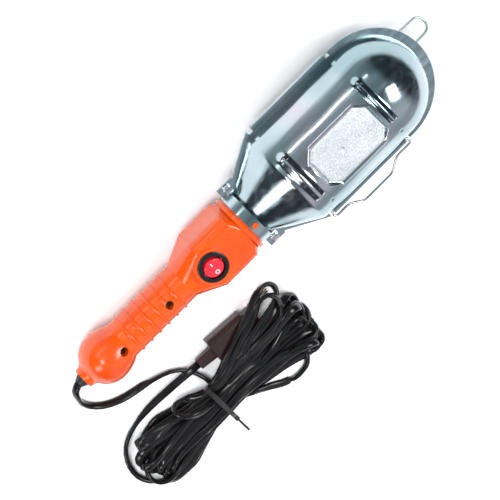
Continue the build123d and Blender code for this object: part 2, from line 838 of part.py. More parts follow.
def side_rail_spot(x):
    """Where a side rail crosses the slanting wall of a hoop, on its outside."""
    run_y = hoop_y - hoop_flat_y
    run_z = hoop_side_z - hoop_z(x)
    length = math.hypot(run_y, run_z)
    out = guard_wire_d - weld
    return ((hoop_y + hoop_flat_y) / 2 + out * run_z / length,
            (hoop_side_z + hoop_z(x)) / 2 - out * run_y / length)


def side_rail(side):
    """One of the two rails half way up the guard's sides."""
    start_turn = math.radians(25)
    end_turn = math.radians(48)
    knee = side_rail_spot(rail_knee_x)
    corner = side_rail_spot(rail_corner_x - side_rail_short)
    return wire_along(
        [(rail_start_x, side * arch_r * math.cos(start_turn), -arch_r * math.sin(start_turn)),
         (rail_knee_x, side * knee[0], knee[1]),
         (rail_corner_x - side_rail_short, side * corner[0], corner[1]),
         (dome_x + rail_end_r * math.cos(end_turn), side * rail_end_r * math.sin(end_turn),
          wire_top_z)],
        [20, 18], guard_wire_d)


with BuildPart() as guard_rails:
    for side in (1, -1):
        add(lower_rail(side).part)
        add(side_rail(side).part)
hand_over(guard_rails, "guard_rails")

with BuildPart() as guard_catch:
    with BuildSketch(across(catch_x - catch_width / 2)):
        with BuildLine():
            Polyline((-strip_inner_y, strip_bottom), (-strip_outer_y, strip_bottom),
                     (-strip_outer_y, catch_foot_z + sheet), (catch_foot_y, catch_foot_z + sheet),
                     (catch_foot_y, catch_foot_z), (-strip_outer_y + sheet, catch_foot_z),
                     (-strip_outer_y + sheet, strip_bottom - sheet),
                     (-strip_inner_y, strip_bottom - sheet), close=True)
        make_face()
    extrude(amount=catch_width)
hand_over(guard_catch, "guard_catch")

# ---- hanging loop on a bar across the guard's end ----
with BuildLine() as end_bend:
    FilletPolyline((rail_knee_x, 0, rail_z(rail_knee_x)), (rail_corner_x, 0, rail_z(rail_corner_x)),
                   (dome_x + math.sqrt(rail_end_r ** 2 - rail_y ** 2), 0, wire_top_z),
                   radius=rail_bend)
bend_edge = end_bend.edges().filter_by(GeomType.CIRCLE)[0]
bar_spot = bend_edge @ 0.7
loop_bar_x = bar_spot.X
loop_bar_z = bar_spot.Z
with BuildPart() as loop_bar:
    with BuildSketch(Plane.XZ.offset(-rail_y)):
        with Locations((loop_bar_x, loop_bar_z)):
            Circle(guard_wire_d / 2)
    extrude(amount=2 * rail_y)
hand_over(loop_bar, "loop_bar")

eye_r = guard_wire_d / 2 + eye_gap + guard_wire_d / 2
loop_start_x = loop_bar_x + eye_r
loop_tip_x = loop_bar_x + loop_reach
loop_bow = wire_along(
    [(loop_start_x, loop_width / 2, loop_bar_z), (loop_tip_x, loop_width / 2 - 1, loop_bar_z),
     (loop_tip_x, 1 - loop_width / 2, loop_bar_z), (loop_start_x, -loop_width / 2, loop_bar_z)],
    loop_width / 2 - 2, guard_wire_d)
with BuildPart() as hanging_loop:
    add(loop_bow.part)
    for side in (1, -1):
        with Locations(Location((loop_bar_x, side * loop_width / 2, loop_bar_z), (90, 0, 0))):
            Torus(eye_r, guard_wire_d / 2)
hand_over(hanging_loop, "hanging_loop")

# ---- latch bail: sprung wire whose ends turn in the rolled edge ----
near = -bar_y - bail_near_y
far = -bar_y - bail_far_y
latch_bail = wire_along(
    [(bar_start_x + bail_axle, -bar_y, 0), (bar_start_x - bail_overhang, -bar_y, 0),
     (bar_start_x - bail_overhang, near, 0), (bail_shoulder[0], near, 0),
     (bail_grip[0], far, 0), (bail_grip[1], far, 0), (bail_shoulder[1], near, 0),
     (bar_end_x + bail_overhang, near, 0), (bar_end_x + bail_overhang, -bar_y, 0),
     (bar_end_x - bail_axle, -bar_y, 0)],
    [2.3, 2.3, 8, 8, 8, 8, 2.3, 2.3], bail_wire_d)
hand_over(latch_bail, "latch_bail")

# ---- cord, laid on the floor in the frame of the floor ----
tube_z = tube_d / 2
relief_end = inside_lamp((tail_x - relief_out, 0, 0))

# From the relief at once down to the floor, round beside the knob and along to the hank.
lead_points = [
    tuple(relief_end), (-166.5, -1.2, 17.6), (-169.6, -5.0, 15.6), (-171.0, -10.8, 11.6),
    (-171.0, -17.5, 7.2), (-169.0, -25.0, 3.6), (-163.0, -32.5, 2.2), (-152.5, -39.0, 2.0),
    (-139.5, -43.5, 2.0), (-125.5, -47.0, 2.0), (-111.5, -52.0, 2.0), (-101.5, -62.0, 2.0),
    (-97.5, -76.0, 2.8),
]

# From the far lobe of the hank back along the lamp to the plug's relief.
plug_lead_points = [
    (-182.0, -86.0, 2.0), (-180.0, -75.0, 2.0), (-172.0, -66.5, 2.0), (-158.0, -61.5, 2.2),
    (-142.0, -60.3, 3.0), (-125.5, -60.9, 4.4), (-109.0, -62.0, 6.0), (-94.0, -63.5, 6.7),
]


def corner_bends(points, share=0.45):
    """The largest tangent arc that each corner's two runs allow, printed for the record."""
    spots = [Vector(*p) for p in points]
    bends = []
    for before, corner, after in zip(spots, spots[1:], spots[2:]):
        into = corner - before
        out = after - corner
        half_turn = math.radians(into.get_angle(out)) / 2
        bends.append(share * min(into.length, out.length) / math.tan(half_turn))
    print("corner radii", [round(b, 1) for b in bends])
    return bends


def cord_tube(points):
    """A plain round stand-in for one stretch of the free cord."""
    bends = corner_bends(points)
    tube = wire_along(points, bends, tube_d)
    with BuildLine() as route:
        FilletPolyline(*points, radius=bends)
    length = route.wire().length
    full = length * math.pi * (tube_d / 2) ** 2
    print("tube volume share", round(tube.part.volume / full, 4), "length", round(length))
    return tube


cord_lead = cord_tube(lead_points)
hand_over(cord_lead, "cord_lead", with_lamp=False)

plug_lead = cord_tube(plug_lead_points)
hand_over(plug_lead, "plug_lead", with_lamp=False)

# The plug lies beside the hank and partly under its far lobe, with its pins along the lamp.
plug_frame = Plane(origin=(plug_x, plug_y, plug_height / 2),
                   x_dir=(0, 0, 1),
                   z_dir=(math.cos(math.radians(plug_turn)), -math.sin(math.radians(plug_turn)), 0))

# Outer shape of the tied hank: two fanned lobes and a waist under the tie. The far lobe arches
# over the plug, which keeps its pins reachable along their whole way out. Each section is a
# station, the middle across the lamp, the width and the height.
hank_sections = (
    (-184.0, -91.0, 20.0, 7.0), (-172.0, -92.0, 38.0, 12.0), (-148.0, -94.5, 44.0, 15.0),
    (tie_x - 13, hank_y, 31.0, 23.0), (tie_x, hank_y, tie_hole_width, tie_hole_height),
    (tie_x + 13, hank_y, 32.0, 23.0), (-48.0, -91.0, 58.0, 19.0), (-22.0, -95.0, 44.0, 15.0),
    (-8.0, -97.0, 24.0, 8.0),
)
with BuildPart() as cord_hank:
    for x, middle, width, height in hank_sections:
        with BuildSketch(Plane.YZ.offset(x)):
            with Locations((middle, height / 2 + 0.1)):
                Ellipse(width / 2, height / 2)
    loft()
    with BuildSketch(plug_frame.offset(-relief_length)):
        with Locations((-plug_height / 2, 0)):
            Rectangle(3 * plug_height + 2 * clear_gap, 2 * (pin_spacing + pin_r + pin_room))
    extrude(amount=relief_length + plug_x * -2, mode=Mode.SUBTRACT)
hand_over(cord_hank, "cord_hank", with_lamp=False)

tie_hole = (tie_hole_width / 2, tie_hole_height / 2)
with BuildPart() as cord_tie:
    with BuildSketch(Plane.YZ.offset(tie_x - tie_width / 2)):
        with Locations((hank_y, tie_hole[1] + 0.1)):
            Ellipse(tie_hole[0] + tie_wall, tie_hole[1] + tie_wall)
            Ellipse(tie_hole[0], tie_hole[1], mode=Mode.SUBTRACT)
        with Locations((hank_y - tie_hole[0] - 2, tie_hole[1])):
            Rectangle(6, 5)
        with Locations((hank_y, -5)):
            Rectangle(4 * tie_hole[0], 10, mode=Mode.SUBTRACT)
        with Locations((hank_y, tie_hole[1] + 0.1)):
            Ellipse(tie_hole[0], tie_hole[1], mode=Mode.SUBTRACT)
    extrude(amount=tie_width)
    with BuildSketch(Plane.YZ.offset(tie_x - tie_tail_width / 2)):
        with Locations((hank_y - tie_hole[0] - tie_wall - tie_tail_length / 2, tie_hole[1])):
            Rectangle(tie_tail_length, tie_wall)
    extrude(amount=tie_tail_width)
hand_over(cord_tie, "cord_tie", with_lamp=False)

# ---- plug: moulded body with its relief, and two pins, lying beside the hank ----
with BuildPart() as plug_body:
    with BuildSketch(plug_frame):
        RectangleRounded(plug_height, plug_width, plug_height / 3)
    extrude(amount=plug_length)
    with BuildSketch(plug_frame.offset(plug_length)):
        RectangleRounded(nose_height, nose_width, nose_height / 3)
    extrude(amount=nose_length)
    with BuildSketch(plug_frame.offset(-relief_length)):
        RectangleRounded(relief_height, relief_width, relief_edge)
    with BuildSketch(plug_frame):
        RectangleRounded(relief_height + 1.5, relief_width + 1, relief_edge)
    loft()
hand_over(plug_body, "plug_body", with_lamp=False)

with BuildPart() as plug_pins:
    with BuildSketch(plug_frame.offset(plug_length + nose_length)):
        with Locations((0, pin_spacing), (0, -pin_spacing)):
            Circle(pin_r)
    extrude(amount=pin_length)
    pin_line = Axis(plug_frame.origin, plug_frame.z_dir)
    fillet(plug_pins.edges().filter_by(GeomType.CIRCLE).sort_by(pin_line)[-2:], pin_round)
hand_over(plug_pins, "plug_pins", with_lamp=False)
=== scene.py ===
import math

import bmesh
import bpy
import numpy
from mathutils import Matrix, Vector


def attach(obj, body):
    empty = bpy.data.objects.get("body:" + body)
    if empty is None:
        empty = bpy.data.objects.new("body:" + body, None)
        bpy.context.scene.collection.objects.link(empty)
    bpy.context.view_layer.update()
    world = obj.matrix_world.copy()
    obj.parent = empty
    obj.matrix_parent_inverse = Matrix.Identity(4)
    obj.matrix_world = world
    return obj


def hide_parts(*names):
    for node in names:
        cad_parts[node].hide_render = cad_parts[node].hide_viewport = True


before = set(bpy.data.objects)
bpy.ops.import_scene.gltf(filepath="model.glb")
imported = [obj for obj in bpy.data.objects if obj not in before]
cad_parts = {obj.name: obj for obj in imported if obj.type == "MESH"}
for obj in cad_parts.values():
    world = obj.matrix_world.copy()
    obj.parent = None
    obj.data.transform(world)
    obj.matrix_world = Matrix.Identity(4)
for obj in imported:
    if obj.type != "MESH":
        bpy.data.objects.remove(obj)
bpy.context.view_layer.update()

bpy.ops.object.select_all(action="DESELECT")

# Camera. A long lens 3 m away looks down on the lamp from its hinge side, rolled so that the
# lamp runs from the lower left to the upper right.
view_target = Vector((-0.0103, -0.0202, 0.030))
view_back = Vector((-0.0314, 0.4248, 0.9048)).normalized()
view_up = Vector((0.7259, 0.6320, -0.2714)).normalized()
view_right = view_up.cross(view_back)
bpy.ops.object.camera_add(location=view_target + 3.0 * view_back)
camera = bpy.context.object
camera.name = "studio_camera"
camera.rotation_euler = Matrix((view_right, view_up, view_back)).transposed().to_euler()
camera.data.sensor_width = 36.0
camera.data.lens = 304.2
bpy.context.scene.camera = camera

# Floor and studio light. A pale seamless floor, a room of pale and grey bands that runs round
# the lamp, and soft boxes that put long bright bands on the bright metal.
bpy.ops.mesh.primitive_plane_add(size=8.0, location=(0, 0, 0))
floor = bpy.context.object
floor.name = "studio_floor"
floor_paint = bpy.data.materials.new("pale_floor")
floor_paint.use_nodes = True
floor_shader = floor_paint.node_tree.nodes["Principled BSDF"]
floor_shader.inputs["Base Color"].default_value = (0.92, 0.92, 0.93, 1)
floor_shader.inputs["Roughness"].default_value = 0.9
floor.data.materials.append(floor_paint)


def add_node(tree, kind, links, **settings):
    """A node with its inputs linked or set by name or number, and its settings."""
    node = tree.nodes.new(kind)
    for label, value in settings.items():
        setattr(node, label, value)
    for label, value in links.items():
        if isinstance(value, bpy.types.NodeSocket):
            tree.links.new(value, node.inputs[label])
        else:
            node.inputs[label].default_value = value
    return node


# The three kinds of a Mix node share their socket names, so its colour sockets go by number.
colour_a = 6
colour_b = 7
colour_out = 2
room = bpy.data.worlds.new("pale_room")
bpy.context.scene.world = room
bpy.context.scene.view_settings.view_transform = "Standard"
room.use_nodes = True
room_tree = room.node_tree
heading = add_node(room_tree, "ShaderNodeTexCoord", {}).outputs["Generated"]
split_heading = add_node(room_tree, "ShaderNodeSeparateXYZ", {0: heading})
height_angle = add_node(room_tree, "ShaderNodeMath", {
    0: split_heading.outputs["Z"], 1: split_heading.outputs["Y"]}, operation="ARCTAN2")
uneven = add_node(room_tree, "ShaderNodeTexNoise", {"Vector": heading, "Scale": 2.3, "Detail": 0.0})
band_sway = add_node(room_tree, "ShaderNodeMapRange", {
    "Value": uneven.outputs["Fac"], "To Min": -0.09, "To Max": 0.09})
band_place = add_node(room_tree, "ShaderNodeMath", {
    0: height_angle.outputs[0], 1: 1 / math.pi, 2: band_sway.outputs["Result"]},
    operation="MULTIPLY_ADD")
bands = add_node(room_tree, "ShaderNodeValToRGB", {"Fac": band_place.outputs[0]})
band_stops = [
    (0.00, (0.46, 0.53, 0.55)), (0.07, (0.30, 0.36, 0.38)), (0.17, (0.24, 0.29, 0.31)),
    (0.27, (0.40, 0.47, 0.50)), (0.36, (0.30, 0.35, 0.38)), (0.46, (0.16, 0.18, 0.20)),
    (0.55, (0.24, 0.27, 0.30)), (0.64, (0.42, 0.46, 0.50)), (0.72, (0.70, 0.70, 0.74)),
    (0.82, (0.80, 0.74, 0.78)), (0.92, (0.45, 0.44, 0.48)), (1.00, (0.60, 0.57, 0.60)),
]
bands.color_ramp.interpolation = "EASE"
for place, tint in band_stops[1:-1]:
    bands.color_ramp.elements.new(place)
for stop, (place, tint) in zip(bands.color_ramp.elements, band_stops):
    stop.position = place
    stop.color = (*tint, 1)
end_share = add_node(room_tree, "ShaderNodeMath", {0: split_heading.outputs["X"]},
                     operation="ABSOLUTE")
end_step = add_node(room_tree, "ShaderNodeMapRange", {
    "Value": end_share.outputs[0], "From Min": 0.36, "From Max": 0.66},
    interpolation_type="SMOOTHSTEP")
darker_ends = add_node(room_tree, "ShaderNodeMix", {
    0: end_step.outputs["Result"], colour_a: bands.outputs["Color"],
    colour_b: (0.035, 0.045, 0.055, 1)}, data_type="RGBA")
room_glow = room_tree.nodes["Background"]
room_tree.links.new(darker_ends.outputs[colour_out], room_glow.inputs["Color"])
room_glow.inputs["Strength"].default_value = 1.0


def soft_box(name, place, aim, width, height, power, mirrored=True):
    """A rectangular soft box at place, turned towards aim; mirrored ones show in bright metal."""
    bpy.ops.object.light_add(type="AREA", location=place)
    box = bpy.context.object
    box.name = name
    box.data.shape = "RECTANGLE"
    box.data.size = width
    box.data.size_y = height
    box.data.energy = power
    box.visible_glossy = mirrored
    box.rotation_euler = (Vector(place) - Vector(aim)).to_track_quat("Z", "Y").to_euler()


soft_box("key_box", (-0.7, 0.9, 2.0), (0, 0, 0), 1.0, 1.0, 40, mirrored=False)
soft_box("fill_box", (1.2, -0.8, 1.8), (0, 0, 0), 1.6, 1.6, 18, mirrored=False)
soft_box("dome_box", (0.86, -0.34, 1.9), (0.1, 0, 0), 1.0, 0.75, 24)
soft_box("cone_box", (-1.85, 0.05, 1.15), (0, 0, 0), 0.62, 1.1, 12)
soft_box("grip_box", (-1.0, 0.55, 1.75), (-0.1, 0, 0), 0.5, 0.22, 7)
soft_box("side_strip", (-0.2, 1.7, 1.25), (0, 0, 0), 1.6, 0.10, 3)

# Cord. Four and a half metres of black flat twin PVC cable. It leaves the grip through the
# relief, goes round to a hank of thirteen turns held by a strap, and comes back to the plug.
cord_width = 0.006
cord_thickness = 0.0036
lead_route = [
    (-0.1624, 0.0000, 0.0180), (-0.1665, -0.0012, 0.0176), (-0.1696, -0.0050, 0.0156),
    (-0.1710, -0.0108, 0.0116), (-0.1710, -0.0175, 0.0072), (-0.1690, -0.0250, 0.0036),
    (-0.1630, -0.0325, 0.0022), (-0.1525, -0.0390, 0.0020), (-0.1395, -0.0435, 0.0020),
    (-0.1255, -0.0470, 0.0020), (-0.1115, -0.0520, 0.0022), (-0.1015, -0.0620, 0.0028),
    (-0.0975, -0.0760, 0.0040),
]
plug_route = [
    (-0.1725, -0.1090, 0.0040), (-0.1800, -0.1010, 0.0026), (-0.1830, -0.0915, 0.0022),
    (-0.1818, -0.0810, 0.0022), (-0.1765, -0.0715, 0.0022), (-0.1690, -0.0650, 0.0022),
    (-0.1580, -0.0615, 0.0024), (-0.1420, -0.0603, 0.0030), (-0.1255, -0.0609, 0.0044),
    (-0.1090, -0.0620, 0.0060), (-0.0940, -0.0635, 0.0067),
]
tie_x = -0.103
tie_half_width = 0.0118
tie_half_height = 0.0106
hank_y = -0.094
turn_count = 13
lobe_tips = {1: -0.009, -1: -0.180}
lobe_widths = {1: 0.056, -1: 0.042}
lobe_middles = {1: -0.0905, -1: -0.0935}
lobe_sink = 0.0055
bottom_strand = 0.0022
slipped_far_turn = 5
slipped_near_turn = 9
scatter = numpy.random.default_rng(7)

# Two bends slipped out of the bundle: one lies on the floor beside the far lobe, and one
# stands out on the near side of the strap.
slipped_far_bend = [
    (-0.0960, -0.1065, 0.0060), (-0.0870, -0.1085, 0.0040), (-0.0790, -0.1115, 0.0026),
    (-0.0700, -0.1195, 0.0022), (-0.0600, -0.1265, 0.0022), (-0.0500, -0.1300, 0.0022),
    (-0.0400, -0.1290, 0.0022), (-0.0335, -0.1225, 0.0022), (-0.0330, -0.1150, 0.0030),
    (-0.0390, -0.1090, 0.0045), (-0.0500, -0.1050, 0.0060), (-0.0650, -0.1010, 0.0070),
    (-0.0800, -0.0985, 0.0080), (-0.0920, -0.0970, 0.0090),
]
slipped_near_bend = [
    (-0.1060, -0.0840, 0.0115), (-0.1120, -0.0780, 0.0125), (-0.1180, -0.0720, 0.0135),
    (-0.1250, -0.0675, 0.0150), (-0.1310, -0.0690, 0.0175), (-0.1310, -0.0750, 0.0205),
    (-0.1240, -0.0810, 0.0230), (-0.1150, -0.0865, 0.0245), (-0.1060, -0.0900, 0.0250),
]


def strand_spot(x, across, level):
    """One strand's place at a station of the hank; across and level run from -1 to 1."""
    side = 1 if x > tie_x else -1
    reach = abs(x - tie_x) / abs(lobe_tips[side] - tie_x)
    swell = math.sin(min(1.0, 1.45 * reach) * math.pi / 2) ** 1.5
    half_width = tie_half_width + (lobe_widths[side] / 2 - tie_half_width) * swell
    middle = hank_y + (lobe_middles[side] - hank_y) * swell
    height = 2 * tie_half_height - lobe_sink * swell
    return (x, middle + across * half_width, bottom_strand + (level + 1) / 2 * height)


def hank_route():
    """Control points of the turns, each out to the far tip and back to the near tip."""
    outer = [(-0.9, 1.0), (-0.6, 0.9), (-0.3, 1.0), (0.0, 0.9), (0.3, 1.0), (0.6, 0.9),
             (0.92, 1.0)]
    inner = [(0.75, 0.3), (0.45, 0.4), (0.15, 0.3), (-0.15, 0.4), (-0.45, 0.3), (-0.75, 0.4)]
    starts = outer + inner
    shares = (0.14, 0.32, 0.5, 0.68, 0.85, 0.97)
    near_reach = 0.07
    points = [strand_spot(tie_x - share * near_reach, 0.3, -0.9) for share in (0.25, 0.6, 0.95)]
    for turn, (across, level) in enumerate(starts):
        last = turn == turn_count - 1
        sway = (0.2 if level > 0.6 else 0.5) * (1 if turn % 2 else -1)
        returning = max(-1.0, min(1.0, across * 0.9 + sway + scatter.uniform(-0.1, 0.1)))
        following = -0.9 if last else starts[turn + 1][0]
        for side, near, far in ((1, (across, level), (returning, -level)),
                                (-1, (returning, -level), (following, level))):
            if turn == slipped_far_turn and side == 1:
                points += slipped_far_bend
                continue
            if turn == slipped_near_turn and side == -1:
                points += slipped_near_bend
                continue
            tip = lobe_tips[side] - side * (0.007 * near[0] ** 2 + scatter.uniform(0, 0.008))
            stations = [tie_x + share * (tip - tie_x) for share in shares]
            points += [strand_spot(x, *near) for x in stations]
            if last and side == -1:
                break
            points += [strand_spot(x, *far) for x in reversed(stations)]
    return points


def walk_line(points, step):
    """Points one step apart along a line of straight runs."""
    spots = numpy.array(points)
    runs = numpy.linalg.norm(numpy.diff(spots, axis=0), axis=1)
    gone = numpy.concatenate(([0.0], numpy.cumsum(runs)))
    stations = numpy.linspace(0.0, gone[-1], max(2, round(gone[-1] / step)))
    return numpy.stack([numpy.interp(stations, gone, spots[:, i]) for i in range(3)], axis=1)


# The plug under the loose turns: where its body starts, which way it points, and its size.
plug_start = numpy.array((-0.0938, -0.0635))
plug_turn = math.radians(6)
plug_way = numpy.array((math.cos(plug_turn), -math.sin(plug_turn)))
plug_reach = 0.072
plug_half = 0.0135
plug_top = 0.0153
plug_slope = 0.008


def over_the_plug(spots):
    """The least height that each spot has where the turns lie on the plug and its pins."""
    out = spots[:, :2] - plug_start
    ahead = out @ plug_way
    beside = numpy.abs(out @ numpy.array((-plug_way[1], plug_way[0])))
    gone_past = numpy.maximum(numpy.maximum(-ahead, ahead - plug_reach), beside - plug_half)
    return plug_top * numpy.clip(1.0 - gone_past / plug_slope, 0.0, 1.0)


def bends(spots):
    """How far each spot lies from the middle of the two beside it."""
    bend = numpy.zeros_like(spots)
    bend[1:-1] = spots[:-2] + spots[2:] - 2 * spots[1:-1]
    return bend


def bend_changes(bend):
    """How the bend changes from spot to spot, which a stiff cord evens out."""
    change = numpy.zeros_like(bend)
    change[2:-2] = bend[1:-3] + bend[3:-1] - 2 * bend[2:-2]
    return change


def free_spots(line, held_start, held_end):
    """True for each spot that may move: neither in the leads nor in the two slipped bends."""
    free = numpy.ones(len(line), bool)
    free[:held_start] = False
    free[len(line) - held_end:] = False
    for bend_points in (slipped_far_bend[3:-4], slipped_near_bend[2:-2]):
        track = walk_line(bend_points, 0.001)
        away = numpy.linalg.norm(line[:, None, :] - track[None, :, :], axis=2).min(axis=1)
        free[away < 0.0009] = False
    return free


def settle_turns(line, held_start, held_end, rounds):
    """Let the turns push each other apart, bend evenly and come to rest on what is under them."""
    strand_gap = 0.0048
    strand_run = 0.0054
    evening = 0.03
    stiffness = 0.09
    last_stiffness = 0.10
    push_share = 0.28
    open_share = 0.2
    fall = 0.00010
    lobe_start = 0.045
    lobe_pull = 0.00022
    longest_move = 0.0012
    strap_half_width = 0.006
    run_share = 0.4
    lowest_middle = 0.0020
    least_chords = ((2, 0.0096), (4, 0.0128))
    flatten = numpy.array([1.0, 1.0, 1.25])
    spots = line.copy()
    count = len(spots)
    index = numpy.arange(count)
    far_along = numpy.abs(index[:, None] - index[None, :]) > 4
    free = free_spots(line, held_start, held_end)
    reach = numpy.abs(line[:, 0] - tie_x)
    fold_reach = numpy.array([reach[max(0, i - 11):i + 12].max() for i in range(count)]) + 0.001
    for _ in range(rounds):
        for _ in range(4):
            bend = bends(spots)
            spots[free] += evening * bend[free]
            spots[free] -= stiffness * bend_changes(bend)[free]
        apart = (spots[:, None, :] - spots[None, :, :]) * flatten
        distance = numpy.linalg.norm(apart, axis=2)
        close = (distance < strand_gap) & far_along
        push = numpy.where(close, (strand_gap - distance) / (distance + 1e-5), 0.0)
        move = push_share * (push[:, :, None] * apart).sum(axis=1)
        for steps, chord in least_chords:
            across = spots[steps:] - spots[:-steps]
            width = numpy.linalg.norm(across, axis=1, keepdims=True)
            open_up = open_share * numpy.maximum(chord - width, 0.0) / (width + 1e-5) * across
            move[steps:] += open_up
            move[:-steps] -= open_up
        move[:, 2] -= fall
        out_x = spots[:, 0] - tie_x
        move[:, 0] += numpy.where(numpy.abs(out_x) > lobe_start, numpy.sign(out_x) * lobe_pull, 0.0)
        spots[free] += numpy.clip(move[free], -longest_move, longest_move)
        strap = numpy.exp(-((spots[:, 0] - tie_x) / strap_half_width) ** 2)
        out_y = (spots[:, 1] - hank_y) / tie_half_width
        out_z = (spots[:, 2] - tie_half_height - bottom_strand) / tie_half_height
        over = numpy.maximum(numpy.sqrt(out_y ** 2 + out_z ** 2), 1.0)
        pull = strap * (1.0 - 1.0 / over) * free
        spots[:, 1] -= pull * (spots[:, 1] - hank_y)
        spots[:, 2] -= pull * (spots[:, 2] - tie_half_height - bottom_strand)
        out_x = numpy.clip(spots[:, 0] - tie_x, -fold_reach, fold_reach)
        spots[free, 0] = tie_x + out_x[free]
        for _ in range(3):
            runs = numpy.diff(spots, axis=0)
            lengths = numpy.linalg.norm(runs, axis=1, keepdims=True)
            fix = run_share * (lengths - strand_run) / numpy.maximum(lengths, 1e-6) * runs
            spots[:-1][free[:-1]] += fix[free[:-1]]
            spots[1:][free[1:]] -= fix[free[1:]]
        lowest = numpy.maximum(lowest_middle, over_the_plug(spots))
        spots[free, 2] = numpy.maximum(spots[free, 2], lowest[free])
    for _ in range(14):
        spots[free] -= last_stiffness * bend_changes(bends(spots))[free]
    return spots


first_run = 0.0055
settling_rounds = 160
turns = walk_line([lead_route[-1]] + hank_route() + [plug_route[0]], first_run)[1:-1]
turns = settle_turns(numpy.vstack((lead_route, turns, plug_route)),
                     len(lead_route), len(plug_route), settling_rounds)
cord_route = [tuple(spot) for spot in turns]


def smooth_line(name, points, fineness):
    """The points read along one smooth open NURBS line."""
    curve = bpy.data.curves.new(name, "CURVE")
    curve.dimensions = "3D"
    curve.resolution_u = fineness
    spline = curve.splines.new("NURBS")
    spline.points.add(len(points) - 1)
    for spot, place in zip(spline.points, points):
        spot.co = (*place, 1.0)
    spline.order_u = 3
    spline.use_endpoint_u = True
    holder = bpy.data.objects.new(name, curve)
    bpy.context.scene.collection.objects.link(holder)
    line = bpy.data.meshes.new_from_object(holder)
    spots = [vertex.co.copy() for vertex in line.vertices]
    bpy.data.objects.remove(holder)
    bpy.data.curves.remove(curve)
    bpy.data.meshes.remove(line)
    return spots


cord_line = smooth_line("cord_line", cord_route, 2)


def lie_flat(line):
    """The way the cord's thin side faces at each point: into a bend, and upwards elsewhere."""
    up_pull = 1.3
    bend_pull = 14.0
    lean_spread = 0.9
    hank_reach = 0.03
    spots = numpy.array(line)
    along = numpy.gradient(spots, axis=0)
    along /= numpy.linalg.norm(along, axis=1, keepdims=True)
    bend = numpy.gradient(along, axis=0)
    carried = numpy.zeros_like(spots)
    carried[0] = numpy.cross(along[0], numpy.cross((0, 0, 1.0), along[0]))
    for i in range(1, len(spots)):
        carried[i] = carried[i - 1] - along[i] * carried[i - 1].dot(along[i])
        carried[i] /= numpy.linalg.norm(carried[i])
    beside = numpy.cross(along, carried)
    upwards = numpy.broadcast_to(numpy.array([0.0, 0.0, 1.0]) * up_pull, spots.shape)
    doubled = numpy.zeros(len(spots), complex)
    for pull in (bend * bend_pull, upwards):
        seen = (pull * carried).sum(axis=1) + 1j * (pull * beside).sum(axis=1)
        doubled += seen ** 2 / (numpy.abs(seen) + 1e-9)
    spread = numpy.exp(-numpy.linspace(-2, 2, 13) ** 2)
    spread /= spread.sum()
    smooth = numpy.convolve(doubled, spread, mode="same")
    turn = numpy.unwrap(numpy.angle(smooth)) / 2
    lean = numpy.convolve(scatter.normal(0, lean_spread, len(spots)), spread, mode="same")
    turn += lean * (numpy.abs(spots[:, 1] - hank_y) < hank_reach)
    facing = carried * numpy.cos(turn)[:, None] + beside * numpy.sin(turn)[:, None]
    return facing, numpy.cross(along, facing)


def flat_twin(name, line, width, thickness, corners):
    """A flat twin cable swept along a line, with UV running along and round it."""
    squareness = 0.72
    groove_depth = 0.09
    groove_half_width = 0.0007
    facing, sideways = lie_flat(line)
    section = []
    for number in range(corners):
        angle = 2 * math.pi * number / corners
        across = math.copysign(abs(math.cos(angle)) ** squareness, math.cos(angle)) * width / 2
        groove = 1.0 - groove_depth * math.exp(-(across / groove_half_width) ** 2)
        section.append((across, math.sin(angle) * thickness / 2 * groove))
    shape = bmesh.new()
    unwrapped = shape.loops.layers.uv.new("cord_run")
    rings = []
    for number, (up, side) in enumerate(zip(facing, sideways)):
        up = Vector(up)
        side = Vector(side)
        least = abs(up.z) * thickness / 2 + abs(side.z) * width / 2
        line[number].z = max(line[number].z, least)
        rings.append([shape.verts.new(line[number] + side * a + up * b) for a, b in section])
    run = 0.0
    for number in range(len(rings) - 1):
        step = (line[number + 1] - line[number]).length
        for corner in range(corners):
            after = (corner + 1) % corners
            face = shape.faces.new((rings[number][corner], rings[number][after],
                                    rings[number + 1][after], rings[number + 1][corner]))
            face.smooth = True
            places = ((run, corner), (run, corner + 1), (run + step, corner + 1),
                      (run + step, corner))
            for loop, (length, round_it) in zip(face.loops, places):
                loop[unwrapped].uv = (length, round_it / corners)
        run += step
    shape.faces.new(list(reversed(rings[0])))
    shape.faces.new(rings[-1])
    bmesh.ops.recalc_face_normals(shape, faces=shape.faces)
    mesh = bpy.data.meshes.new(name)
    shape.to_mesh(mesh)
    shape.free()
    piece = bpy.data.objects.new(name, mesh)
    bpy.context.scene.collection.objects.link(piece)
    return piece


cord_corners = 18
flex = flat_twin("flat_cord", cord_line, cord_width, cord_thickness, cord_corners)


def effect_group(name, inputs, outputs):
    """An empty shader node group with its sockets, shared by the materials that need it."""
    group = bpy.data.node_groups.new(name, "ShaderNodeTree")
    for label, kind, value in inputs:
        socket = group.interface.new_socket(label, in_out="INPUT", socket_type=kind)
        if value is not None:
            socket.default_value = value
    for label, kind in outputs:
        group.interface.new_socket(label, in_out="OUTPUT", socket_type=kind)
    return group, group.nodes.new("NodeGroupInput"), group.nodes.new("NodeGroupOutput")


